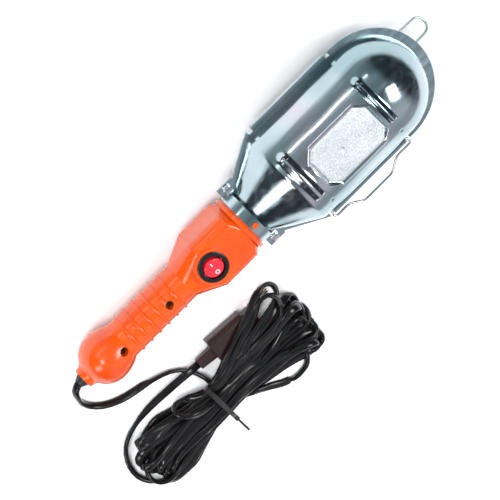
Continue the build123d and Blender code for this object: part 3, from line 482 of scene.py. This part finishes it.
# Moulded skin: the faint mottle, flow and rub marks of a moulded plastic or rubber face.
moulded_skin, skin_in, skin_out = effect_group("moulded_skin", [
    ("Tint", "NodeSocketColor", (0.5, 0.5, 0.5, 1)),
    ("Shade", "NodeSocketColor", (0.4, 0.4, 0.4, 1)),
    ("Gloss", "NodeSocketFloat", 0.3), ("Grain", "NodeSocketFloat", 900.0)],
    [("Color", "NodeSocketColor"), ("Roughness", "NodeSocketFloat"), ("Height", "NodeSocketFloat")])
skin_place = add_node(moulded_skin, "ShaderNodeTexCoord", {}).outputs["Object"]
skin_cloud = add_node(moulded_skin, "ShaderNodeTexNoise", {
    "Vector": skin_place, "Scale": 38.0, "Detail": 4.0, "Roughness": 0.6})
skin_grain = add_node(moulded_skin, "ShaderNodeTexNoise", {
    "Vector": skin_place, "Scale": skin_in.outputs["Grain"], "Detail": 2.0})
skin_mix = add_node(moulded_skin, "ShaderNodeMapRange", {
    "Value": skin_cloud.outputs["Fac"], "From Min": 0.35, "From Max": 0.7})
skin_color = add_node(moulded_skin, "ShaderNodeMix", {
    0: skin_mix.outputs["Result"], colour_a: skin_in.outputs["Tint"],
    colour_b: skin_in.outputs["Shade"]}, data_type="RGBA")
skin_rub = add_node(moulded_skin, "ShaderNodeMapRange", {
    "Value": skin_cloud.outputs["Fac"], "From Min": 0.3, "From Max": 0.75,
    "To Min": -0.05, "To Max": 0.09})
skin_rough = add_node(moulded_skin, "ShaderNodeMath", {
    0: skin_in.outputs["Gloss"], 1: skin_rub.outputs["Result"]}, operation="ADD")
skin_height = add_node(moulded_skin, "ShaderNodeMath", {
    0: skin_grain.outputs["Fac"], 1: 0.35, 2: skin_cloud.outputs["Fac"]}, operation="MULTIPLY_ADD")
for label, source in (("Color", skin_color.outputs[colour_out]),
                      ("Roughness", skin_rough.outputs[0]),
                      ("Height", skin_height.outputs[0])):
    moulded_skin.links.new(source, skin_out.inputs[label])


def moulded(name, tint, shade, gloss, relief=0.00002, grain=900.0, coat=0.0):
    """A moulded plastic or rubber finish that places the skin effect with its own values."""
    finish = bpy.data.materials.new(name)
    finish.use_nodes = True
    tree = finish.node_tree
    skin = add_node(tree, "ShaderNodeGroup", {}, node_tree=moulded_skin)
    skin.inputs["Tint"].default_value = (*tint, 1)
    skin.inputs["Shade"].default_value = (*shade, 1)
    skin.inputs["Gloss"].default_value = gloss
    skin.inputs["Grain"].default_value = grain
    bump = add_node(tree, "ShaderNodeBump", {
        "Height": skin.outputs["Height"], "Distance": relief, "Strength": 1.0})
    shader = tree.nodes["Principled BSDF"]
    tree.links.new(skin.outputs["Color"], shader.inputs["Base Color"])
    tree.links.new(skin.outputs["Roughness"], shader.inputs["Roughness"])
    tree.links.new(bump.outputs["Normal"], shader.inputs["Normal"])
    shader.inputs["Coat Weight"].default_value = coat
    shader.inputs["Coat Roughness"].default_value = 0.08
    return finish


black_pvc = moulded("black_pvc_cord", (0.0045, 0.0045, 0.0050), (0.0075, 0.0070, 0.0075), 0.17,
                    relief=0.000003)
black_pvc.node_tree.nodes["Principled BSDF"].inputs["Specular IOR Level"].default_value = 0.36
flex.data.materials.append(black_pvc)
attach(flex, "lamp")
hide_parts("cord_lead", "cord_hank", "plug_lead")

# Grip shells. Two glossy orange ABS mouldings that meet on the lamp's middle plane; ridges, the
# ribs of the thumb rest and the screw wells are moulded in.
def dress(finish, *node_names):
    """Give pieces of the frame their finish, slot by slot."""
    for node_name in node_names:
        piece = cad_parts[node_name]
        if not piece.material_slots:
            piece.data.materials.append(finish)
        for slot in piece.material_slots:
            slot.material = finish


orange_shell = moulded("orange_abs", (0.66, 0.078, 0.002), (0.57, 0.050, 0.001), 0.20,
                       relief=0.000010, grain=420.0, coat=0.25)
dress(orange_shell, "handle_top", "handle_bottom")

# Steel screws. Zinc plated screws hold the cord clamp, and two larger bolts with nuts draw the
# neck clamp together; the two deep in the grip's wells are darkened with painted shade, a dark
# plating colour.
zinc_plate, zinc_in, zinc_out = effect_group("zinc_plate", [
    ("Light", "NodeSocketColor", (0.70, 0.77, 0.80, 1)),
    ("Cool", "NodeSocketColor", (0.44, 0.56, 0.60, 1)),
    ("Warm", "NodeSocketColor", (0.74, 0.64, 0.68, 1)),
    ("Patch", "NodeSocketFloat", 12.0), ("Polish", "NodeSocketFloat", 0.2)],
    [("Color", "NodeSocketColor"), ("Roughness", "NodeSocketFloat"), ("Height", "NodeSocketFloat")])
zinc_place = add_node(zinc_plate, "ShaderNodeTexCoord", {}).outputs["Object"]
zinc_patch = add_node(zinc_plate, "ShaderNodeTexNoise", {
    "Vector": zinc_place, "Scale": zinc_in.outputs["Patch"], "Detail": 1.5, "Distortion": 0.6})
zinc_stretch = add_node(zinc_plate, "ShaderNodeMapping", {
    "Vector": zinc_place, "Scale": (18.0, 260.0, 260.0)})
zinc_streak = add_node(zinc_plate, "ShaderNodeTexNoise", {
    "Vector": zinc_stretch.outputs["Vector"], "Scale": 1.0, "Detail": 3.0})
zinc_spangle = add_node(zinc_plate, "ShaderNodeTexVoronoi", {
    "Vector": zinc_place, "Scale": 420.0})
cool_share = add_node(zinc_plate, "ShaderNodeMapRange", {
    "Value": zinc_patch.outputs["Fac"], "From Min": 0.42, "From Max": 0.62})
warm_share = add_node(zinc_plate, "ShaderNodeMapRange", {
    "Value": zinc_patch.outputs["Fac"], "From Min": 0.48, "From Max": 0.32, "To Max": 0.75})
cool_mix = add_node(zinc_plate, "ShaderNodeMix", {
    0: cool_share.outputs["Result"], colour_a: zinc_in.outputs["Light"],
    colour_b: zinc_in.outputs["Cool"]}, data_type="RGBA")
warm_mix = add_node(zinc_plate, "ShaderNodeMix", {
    0: warm_share.outputs["Result"], colour_a: cool_mix.outputs[colour_out],
    colour_b: zinc_in.outputs["Warm"]}, data_type="RGBA")
streak_rough = add_node(zinc_plate, "ShaderNodeMapRange", {
    "Value": zinc_streak.outputs["Fac"], "From Min": 0.3, "From Max": 0.7,
    "To Min": -0.06, "To Max": 0.10})
polish_rough = add_node(zinc_plate, "ShaderNodeMath", {
    0: zinc_in.outputs["Polish"], 1: streak_rough.outputs["Result"]}, operation="ADD")
spangle_height = add_node(zinc_plate, "ShaderNodeMath", {
    0: zinc_spangle.outputs["Distance"], 1: 0.25, 2: zinc_streak.outputs["Fac"]},
    operation="MULTIPLY_ADD")
for label, source in (("Color", warm_mix.outputs[colour_out]),
                      ("Roughness", polish_rough.outputs[0]),
                      ("Height", spangle_height.outputs[0])):
    zinc_plate.links.new(source, zinc_out.inputs[label])


def zinc_finish(name, light, cool, warm, patch, polish, relief=0.000008):
    """A zinc plated steel finish that places the plating effect with its own values."""
    finish = bpy.data.materials.new(name)
    finish.use_nodes = True
    tree = finish.node_tree
    plate = add_node(tree, "ShaderNodeGroup", {}, node_tree=zinc_plate)
    for label, value in (("Light", (*light, 1)), ("Cool", (*cool, 1)), ("Warm", (*warm, 1)),
                         ("Patch", patch), ("Polish", polish)):
        plate.inputs[label].default_value = value
    bump = add_node(tree, "ShaderNodeBump", {
        "Height": plate.outputs["Height"], "Distance": relief})
    shader = tree.nodes["Principled BSDF"]
    shader.inputs["Metallic"].default_value = 1.0
    tree.links.new(plate.outputs["Color"], shader.inputs["Base Color"])
    tree.links.new(plate.outputs["Roughness"], shader.inputs["Roughness"])
    tree.links.new(bump.outputs["Normal"], shader.inputs["Normal"])
    return finish


zinc_screws = zinc_finish("zinc_screws", (0.72, 0.76, 0.78), (0.56, 0.62, 0.64),
                          (0.72, 0.68, 0.66), 90.0, 0.22)
dress(zinc_screws, "clamp_screws", "clamp_bolts", "clamp_nuts")
# Painted shade: this near black brown plating stands in for the shadow deep in the grip's screw
# wells.
painted_shade_screws = zinc_finish("painted_shade_screws", (0.12, 0.07, 0.05), (0.08, 0.05, 0.04),
                          (0.16, 0.09, 0.06), 90.0, 0.42)
dress(painted_shade_screws, "handle_screws")

# Cord relief and cord clamp. A soft black rubber sleeve at the grip's tail, and a black nylon bar
# that two screws press on the cord inside the knob.
black_rubber = moulded("black_rubber", (0.010, 0.010, 0.011), (0.018, 0.017, 0.017), 0.46,
                       relief=0.00003, grain=1500.0)
dress(black_rubber, "cord_relief")
black_nylon = moulded("black_nylon", (0.012, 0.012, 0.013), (0.022, 0.021, 0.021), 0.38)
dress(black_nylon, "cord_clamp")

# Inner wiring. The cord's end inside the grip, its brown and blue cores, and stamped brass:
# the spades on the switch, and the holder's threaded shell and centre contact.
dress(black_pvc, "inner_cord")
brown_core = moulded("brown_core", (0.16, 0.055, 0.020), (0.12, 0.040, 0.014), 0.34)
blue_core = moulded("blue_core", (0.020, 0.090, 0.38), (0.014, 0.065, 0.30), 0.34)
dress(brown_core, "live_wire", "switched_wire")
dress(blue_core, "neutral_wire")
brass = zinc_finish("stamped_brass", (0.78, 0.57, 0.26), (0.66, 0.46, 0.18), (0.80, 0.60, 0.32),
                    60.0, 0.26)
dress(brass, "switch_spades", "threaded_shell", "centre_contact")

# Rocker switch. A round black polycarbonate housing snapped into the boss, and a red rocker with
# the printed on and off marks, which swing with it.
black_gloss = moulded("black_gloss", (0.003, 0.003, 0.0035), (0.005, 0.005, 0.0055), 0.14,
                      relief=0.000006, coat=0.1)
dress(black_gloss, "switch_housing")
red_rocker = moulded("red_rocker", (0.74, 0.012, 0.030), (0.60, 0.006, 0.020), 0.16,
                     relief=0.000008, coat=0.4)
dress(red_rocker, "rocker")
# The lamp lies on its guard, so its own axis rises towards the guard's end.
lamp_tilt = math.radians(3.9)
lamp_lift = 0.0290416
lamp_place = Matrix.Translation((0, 0, lamp_lift)) @ Matrix.Rotation(-lamp_tilt, 4, "Y")
rocker_pivot = (-0.036, 0, 0.0206)
rocker_rest = math.radians(12)
rocker_place = (lamp_place @ Matrix.Translation(rocker_pivot)
                @ Matrix.Rotation(rocker_rest, 4, "X"))
mark_height = 0.00277
mark_proud = 0.00010
mark_out = 0.0039
off_radius = 0.00172
off_line = 0.00052
on_size = (0.00058, 0.0030)
bpy.ops.object.select_all(action="DESELECT")
bpy.ops.mesh.primitive_cylinder_add(vertices=48, radius=off_radius, depth=mark_proud,
                                    location=(0, -mark_out, mark_height))
rocker_marks = bpy.context.object
rocker_marks.name = "rocker_marks"
bpy.ops.object.mode_set(mode="EDIT")
bpy.ops.mesh.select_mode(type="FACE")
bpy.ops.mesh.select_all(action="DESELECT")
bpy.ops.object.mode_set(mode="OBJECT")
for face in rocker_marks.data.polygons:
    face.select = abs(face.normal.z) > 0.9
bpy.ops.object.mode_set(mode="EDIT")
bpy.ops.mesh.inset(thickness=off_line)
bpy.ops.mesh.bridge_edge_loops()
bpy.ops.object.mode_set(mode="OBJECT")
bpy.ops.mesh.primitive_cube_add(size=1, location=(0, mark_out, mark_height))
on_mark = bpy.context.object
on_mark.scale = (*on_size, mark_proud)
bpy.ops.object.transform_apply(location=False, rotation=False, scale=True)
bevel = on_mark.modifiers.new("soft_ends", "BEVEL")
bevel.width = 0.00003
bevel.segments = 2
bpy.ops.object.modifier_apply(modifier="soft_ends")
rocker_marks.select_set(True)
bpy.context.view_layer.objects.active = rocker_marks
bpy.ops.object.join()


def settle(piece, place):
    """Put a piece at its place in the frame, with the place kept in its mesh."""
    piece.data.transform(place @ piece.matrix_basis)
    piece.matrix_basis = Matrix.Identity(4)
    piece.data.update()


settle(rocker_marks, rocker_place)
white_print = moulded("white_print", (0.86, 0.86, 0.86), (0.74, 0.74, 0.74), 0.4)
rocker_marks.data.materials.append(white_print)
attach(rocker_marks, "switch_rocker")

# Lamp holder and bulb. A black moulded screw holder, and a clear bulb with an aluminium cap, a
# glass stem and a tungsten filament.
bakelite = moulded("black_bakelite", (0.012, 0.011, 0.010), (0.024, 0.021, 0.018), 0.34)
dress(bakelite, "lamp_holder")
cap_metal = zinc_finish("cap_aluminium", (0.80, 0.80, 0.80), (0.66, 0.67, 0.68), (0.78, 0.76, 0.74),
                        70.0, 0.3)
dress(cap_metal, "bulb_cap")
tungsten = zinc_finish("stem_wire", (0.60, 0.60, 0.60), (0.46, 0.47, 0.48), (0.58, 0.56, 0.55),
                       90.0, 0.35)
dress(tungsten, "filament_mount")
clear_glass = bpy.data.materials.new("clear_glass")
clear_glass.use_nodes = True
glass_tree = clear_glass.node_tree
glass_place = add_node(glass_tree, "ShaderNodeTexCoord", {}).outputs["Object"]
glass_seed = add_node(glass_tree, "ShaderNodeTexNoise", {
    "Vector": glass_place, "Scale": 60.0, "Detail": 2.0})
glass_rough = add_node(glass_tree, "ShaderNodeMapRange", {
    "Value": glass_seed.outputs["Fac"], "To Min": 0.02, "To Max": 0.10})
glass_shader = glass_tree.nodes["Principled BSDF"]
glass_shader.inputs["Base Color"].default_value = (0.96, 0.97, 0.97, 1)
glass_shader.inputs["Transmission Weight"].default_value = 1.0
glass_shader.inputs["IOR"].default_value = 1.46
glass_tree.links.new(glass_rough.outputs["Result"], glass_shader.inputs["Roughness"])
dress(clear_glass, "bulb_glass")

# Reflector. One zinc plated steel sheet, deep drawn to a cone, a half cylinder and a half dome,
# with a flat grained pad, two stiffening ribs, round dimples, a flange, two rolled edges and ears.
millimetre = 0.001
shade_radius = 40.0
cone_start = (9.4, 18.9)
cone_end = (44.5, 40.0)
dome_start = 131.0
sheet_wall = 0.0008
pad_level = 35.0
pad_span = (63.0, 120.0)
pad_half = 18.4
pad_corner = 7.5
tip_gap = 0.25
hem_gap = 0.4
cone_run = math.dist(cone_start, cone_end)
straight_run = dome_start - cone_end[0]
dome_run = shade_radius * math.pi / 2
whole_run = cone_run + straight_run + dome_run


def shade_profile(runs):
    """Station and radius along the pressed sheet, with the drawn corners rounded."""
    corner_half = 30
    rounded_corner = 12
    fine = numpy.linspace(-8.0, whole_run, 1600)
    drawn = numpy.clip((fine - cone_run - straight_run) / shade_radius, 0.0, math.pi / 2)
    slope = (cone_end[1] - cone_start[1]) / cone_run
    ahead = (cone_end[0] - cone_start[0]) / cone_run
    stations = cone_start[0] + ahead * numpy.minimum(fine, cone_run)
    stations += numpy.clip(fine - cone_run, 0.0, straight_run) + shade_radius * numpy.sin(drawn)
    radii = numpy.minimum(cone_start[1] + slope * fine, shade_radius) * numpy.cos(drawn)
    window = numpy.exp(-numpy.linspace(-2.2, 2.2, 2 * corner_half + 1) ** 2)
    window /= window.sum()
    rounded = numpy.convolve(numpy.pad(radii, corner_half, mode="edge"), window, mode="valid")
    radii = numpy.where(fine < cone_run + rounded_corner, rounded, radii)
    return numpy.interp(runs, fine, stations), numpy.interp(runs, fine, radii)


def ease(share):
    """A smooth step from 0 to 1."""
    share = numpy.clip(share, 0.0, 1.0)
    return share * share * (3 - 2 * share)


def pad_depth(x, y):
    """How far a spot lies inside the edge line of the pad, whose corners are cut off."""
    inside_x = numpy.minimum(x - pad_span[0], pad_span[1] - x)
    inside_y = pad_half - numpy.abs(y)
    return numpy.minimum(numpy.minimum(inside_x, inside_y),
                         (inside_x + inside_y - pad_corner) / math.sqrt(2))


bpy.ops.object.select_all(action="DESELECT")
bpy.ops.mesh.primitive_grid_add(x_subdivisions=230, y_subdivisions=150, size=2)
shade_sheet = bpy.context.object
shade_sheet.name = "reflector_sheet"
grid = numpy.empty(len(shade_sheet.data.vertices) * 3)
shade_sheet.data.vertices.foreach_get("co", grid)
grid = grid.reshape(-1, 3)
run_spots = (grid[:, 0] + 1) / 2 * (whole_run - tip_gap)
stations, radii = shade_profile(run_spots)
edge_angle = numpy.arcsin(numpy.clip(hem_gap / numpy.maximum(radii, 0.5), 0, 0.8))
angles = edge_angle + (1 - grid[:, 1]) / 2 * (math.pi - 2 * edge_angle)
across = radii * numpy.cos(angles)
heights = radii * numpy.sin(angles)
side_out = numpy.stack((numpy.zeros_like(angles), numpy.cos(angles), numpy.sin(angles)), axis=1)
pad_inside = pad_depth(stations, across)
above = heights - pad_level
pressed = 0.5 * (above + numpy.sqrt(above ** 2 + 0.5))
heights -= pressed * ease(pad_inside / 1.6 + 0.7)
lip = 0.55 * numpy.exp(-((pad_inside + 0.4) / 0.75) ** 2) * (heights > 30)
dent = 0.30 * numpy.exp(-((pad_inside - 0.9) / 0.6) ** 2) * (heights > 30)
proud = lip - dent


def pressed_bar(middle, far_end, near_end, half_width, height, ball):
    """A rib pressed across the sheet, from a ball end on the hinge side to a blunt end."""
    along = ease((far_end - across) / 2.5) * ease((across - near_end) / 1.8)
    bar = along * numpy.exp(-numpy.abs((stations - middle) / half_width) ** 2.4)
    ends = numpy.hypot(stations - middle, 1.25 * (across - far_end))
    return height * numpy.maximum(bar, 1.1 * numpy.exp(-(ends / ball) ** 2)) * (heights > 5)


def dimple(x, y, depth):
    """A small round dimple punched into the sheet."""
    away = numpy.hypot(stations - x, across - y)
    return depth * numpy.exp(-(away / 0.8) ** 2) * (heights > 5)


proud += pressed_bar(middle=52.6, far_end=25.5, near_end=-13.0, half_width=3.4, height=2.7, ball=3.0)
proud += pressed_bar(middle=126.8, far_end=26.5, near_end=-11.0, half_width=2.4, height=2.4, ball=2.6)
for dimple_spot in ((57.0, -22.8, 0.9), (125.6, -22.8, 0.9), (87.0, 0.0, 0.8)):
    proud -= dimple(*dimple_spot)

# A crease runs beside the bail, and the drawn sheet is wavy by a tenth of a millimetre.
crease_bow = -33.0 - 2.5 * numpy.sin(numpy.clip((stations - 58) / 62, 0, 1) * math.pi)
crease_ends = ease((stations - 56) / 5) * ease((122 - stations) / 5)
proud += 0.7 * crease_ends * numpy.exp(-((across - crease_bow) / 1.1) ** 2) * (heights > 3)
wave_phase = stations / 7.3 + 2.1 * numpy.sin(angles * 2.0)
proud += 0.10 * numpy.sin(wave_phase) * numpy.sin(angles * 5 + 1.3)
outline = numpy.stack((stations, across, heights), axis=1) + side_out * proud[:, None]
shade_sheet.data.vertices.foreach_set("co", (outline * millimetre).ravel())
shade_sheet.data.update()
wall = shade_sheet.modifiers.new("sheet_wall", "SOLIDIFY")
wall.thickness = sheet_wall
wall.offset = -1.0
bpy.ops.object.mode_set(mode="EDIT")
bpy.ops.mesh.select_all(action="SELECT")
bpy.ops.mesh.normals_make_consistent(inside=False)
bpy.ops.object.mode_set(mode="OBJECT")
middle_face = max(shade_sheet.data.polygons, key=lambda face: face.center.z)
if middle_face.normal.z < 0:
    bpy.ops.object.mode_set(mode="EDIT")
    bpy.ops.mesh.flip_normals()
    bpy.ops.object.mode_set(mode="OBJECT")
bpy.ops.object.modifier_apply(modifier="sheet_wall")

# The flange, rolled edges, ears and collar come from the frame's own shape of the sheet; its
# drawn faces, past the collar and above the rim, make way for the sheet above.
collar_end = 9.5
rim_top = 0.83
flange_start = 41.5
edge_work = bpy.data.objects.new("reflector_edges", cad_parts["reflector"].data.copy())
bpy.context.scene.collection.objects.link(edge_work)
edge_work.data.transform(lamp_place.inverted())
edge_work.data.materials.clear()
shape = bmesh.new()
shape.from_mesh(edge_work.data)
bmesh.ops.remove_doubles(shape, verts=shape.verts, dist=0.000002)
drawn_faces = []
for face in shape.faces:
    spot = face.calc_center_median() / millimetre
    out = math.hypot(spot.y, spot.z)
    if spot.z < rim_top or spot.x < collar_end or abs(spot.y) > flange_start:
        continue
    if out < flange_start:
        drawn_faces.append(face)
bmesh.ops.delete(shape, geom=drawn_faces, context="FACES")
shape.to_mesh(edge_work.data)
shape.free()
bpy.ops.object.select_all(action="DESELECT")
edge_work.select_set(True)
shade_sheet.select_set(True)
bpy.context.view_layer.objects.active = shade_sheet
bpy.ops.object.join()
bpy.ops.object.shade_smooth_by_angle(angle=math.radians(32))
spots = numpy.empty(len(shade_sheet.data.vertices) * 3)
shade_sheet.data.vertices.foreach_get("co", spots)
spots = spots.reshape(-1, 3) / millimetre
pad_mask = ease((pad_depth(spots[:, 0], spots[:, 1]) - 0.6) / 0.8) * (spots[:, 2] > 33)
grain_mask = shade_sheet.data.attributes.new("pad_grain", "FLOAT", "POINT")
grain_mask.data.foreach_set("value", pad_mask)
settle(shade_sheet, lamp_place)

zinc_sheet = zinc_finish("zinc_sheet", (0.44, 0.52, 0.55), (0.29, 0.39, 0.42), (0.52, 0.43, 0.49),
                         13.0, 0.17)
sheet_tree = zinc_sheet.node_tree
sheet_shader = sheet_tree.nodes["Principled BSDF"]
plate = next(node for node in sheet_tree.nodes if node.type == "GROUP")
first_bump = next(node for node in sheet_tree.nodes if node.type == "BUMP")
grain_share = add_node(sheet_tree, "ShaderNodeAttribute", {}, attribute_name="pad_grain")
sheet_place = add_node(sheet_tree, "ShaderNodeTexCoord", {}).outputs["Object"]
speckle = add_node(sheet_tree, "ShaderNodeTexNoise", {
    "Vector": sheet_place, "Scale": 1900.0, "Detail": 2.0, "Roughness": 0.7})
speckle_tone = add_node(sheet_tree, "ShaderNodeValToRGB", {"Fac": speckle.outputs["Fac"]})
speckle_tone.color_ramp.elements[0].position = 0.43
speckle_tone.color_ramp.elements[0].color = (0.34, 0.41, 0.45, 1)
speckle_tone.color_ramp.elements[1].position = 0.56
speckle_tone.color_ramp.elements[1].color = (0.93, 0.95, 0.97, 1)
sheet_color = add_node(sheet_tree, "ShaderNodeMix", {
    0: grain_share.outputs["Fac"], colour_a: plate.outputs["Color"],
    colour_b: speckle_tone.outputs["Color"]}, data_type="RGBA")
grained_rough = add_node(sheet_tree, "ShaderNodeMath", {
    0: grain_share.outputs["Fac"], 1: 0.26, 2: plate.outputs["Roughness"]},
    operation="MULTIPLY_ADD")
grained_height = add_node(sheet_tree, "ShaderNodeMath", {
    0: grain_share.outputs["Fac"], 1: speckle.outputs["Fac"]}, operation="MULTIPLY")
grain_bump = add_node(sheet_tree, "ShaderNodeBump", {
    "Height": grained_height.outputs[0], "Distance": 0.00018,
    "Normal": first_bump.outputs["Normal"]})
sheet_tree.links.new(sheet_color.outputs[colour_out], sheet_shader.inputs["Base Color"])
sheet_tree.links.new(grained_rough.outputs[0], sheet_shader.inputs["Roughness"])
sheet_tree.links.new(grain_bump.outputs["Normal"], sheet_shader.inputs["Normal"])
shade_sheet.data.materials.append(zinc_sheet)
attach(shade_sheet, "lamp")
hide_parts("reflector")

# Neck clamp and guard. The clamp's lower half and the guard's rim strips are the same plated
# sheet. All the wire is plated steel: hoops and rails are spot welded, and the hinge rod, bail
# and hanging loop turn where they sit.
plain_sheet = zinc_finish("zinc_strip", (0.68, 0.74, 0.77), (0.46, 0.55, 0.58), (0.70, 0.63, 0.66),
                          20.0, 0.22)
dress(plain_sheet, "neck_clamp", "guard_frame", "guard_catch")
zinc_wire = zinc_finish("zinc_wire", (0.66, 0.71, 0.71), (0.48, 0.56, 0.55), (0.66, 0.62, 0.60),
                        45.0, 0.24)
dress(zinc_wire, "guard_hoops", "guard_rails", "hinge_rod", "loop_bar", "latch_bail",
      "hanging_loop")

# Strap and plug. A black plastic strap round the hank, and a dark brown PVC plug moulded on the
# cord's end with two nickel plated brass pins.
dress(black_nylon, "cord_tie")
plug_pvc = moulded("plug_pvc", (0.0120, 0.0042, 0.0036), (0.0210, 0.0070, 0.0060), 0.34,
                   relief=0.00003, grain=1300.0)
dress(plug_pvc, "plug_body")
nickel = zinc_finish("nickel_pins", (0.80, 0.78, 0.73), (0.68, 0.67, 0.63), (0.80, 0.74, 0.66),
                     80.0, 0.2)
dress(nickel, "plug_pins")
